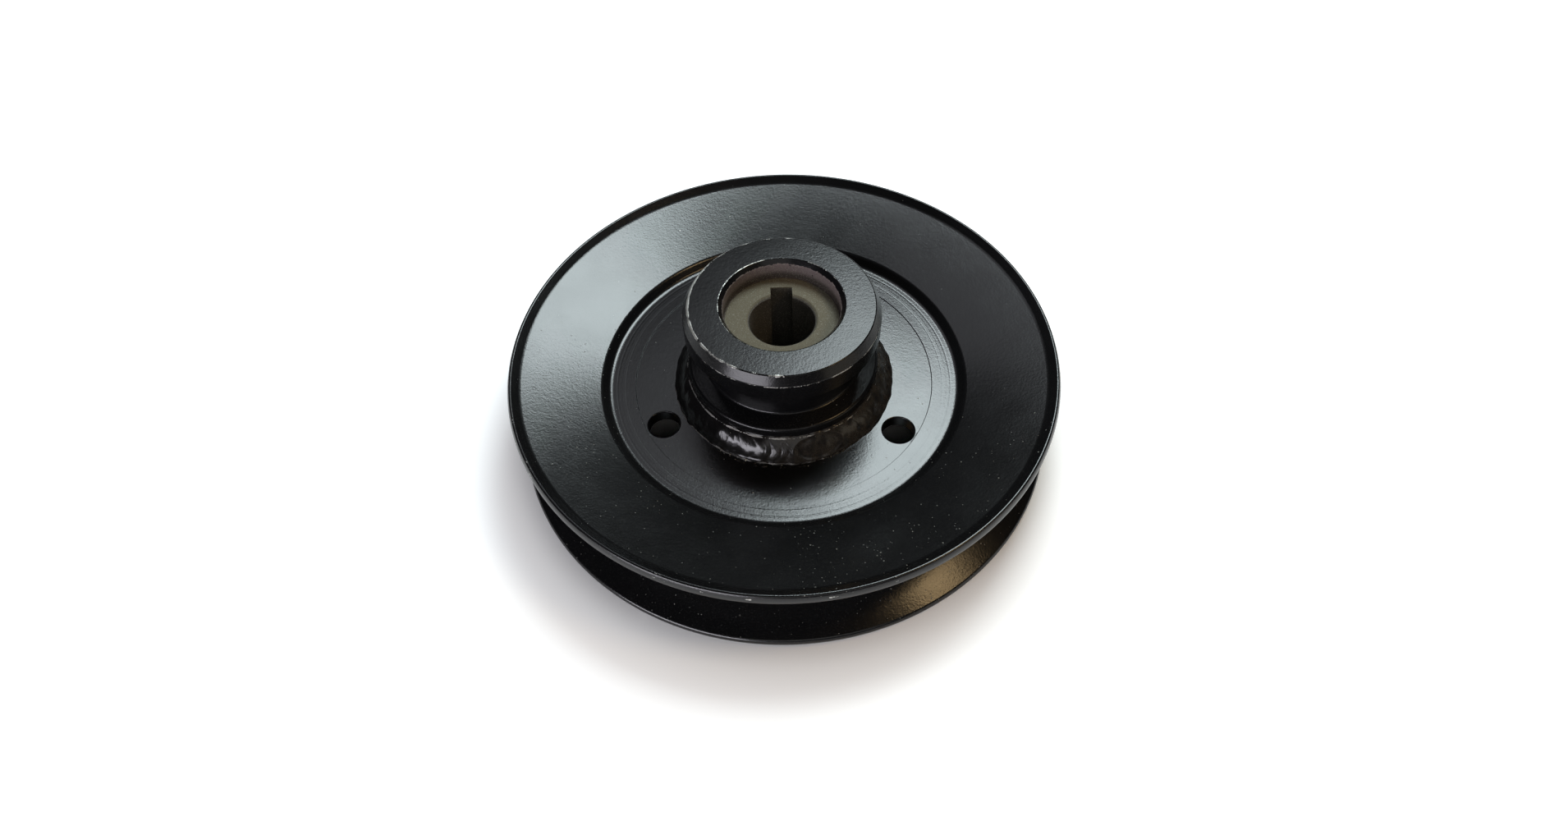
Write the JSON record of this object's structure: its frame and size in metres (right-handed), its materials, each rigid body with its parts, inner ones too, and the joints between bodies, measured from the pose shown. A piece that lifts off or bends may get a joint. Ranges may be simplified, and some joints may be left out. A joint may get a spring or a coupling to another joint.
{
  "type": "v-belt pulley",
  "caption": "Welded steel V-belt drive pulley: keyed hub with a recessed nose, and pressed sheet halves that form the groove.",
  "frame": {"origin": "on the shaft axis, at the mid-plane of the belt groove", "axes": "+Z along the shaft axis, towards the hub's recessed nose; +Y through the keyway"},
  "size_m": [0.162, 0.162, 0.0482],
  "materials": {
    "hub_paint": "satin black paint, bare turned steel in the recess and bore",
    "sheave_paint": "satin black paint with orange peel, chipped to bare steel along the rims",
    "weld_paint": "gloss black paint over a rippled weld bead"
  },
  "bodies": {
    "root": {"hub": "hub_paint", "upper_sheave_half": "sheave_paint", "lower_sheave_half": "sheave_paint", "upper_weld": "weld_paint", "lower_weld": "weld_paint"}
  },
  "joints": []
}
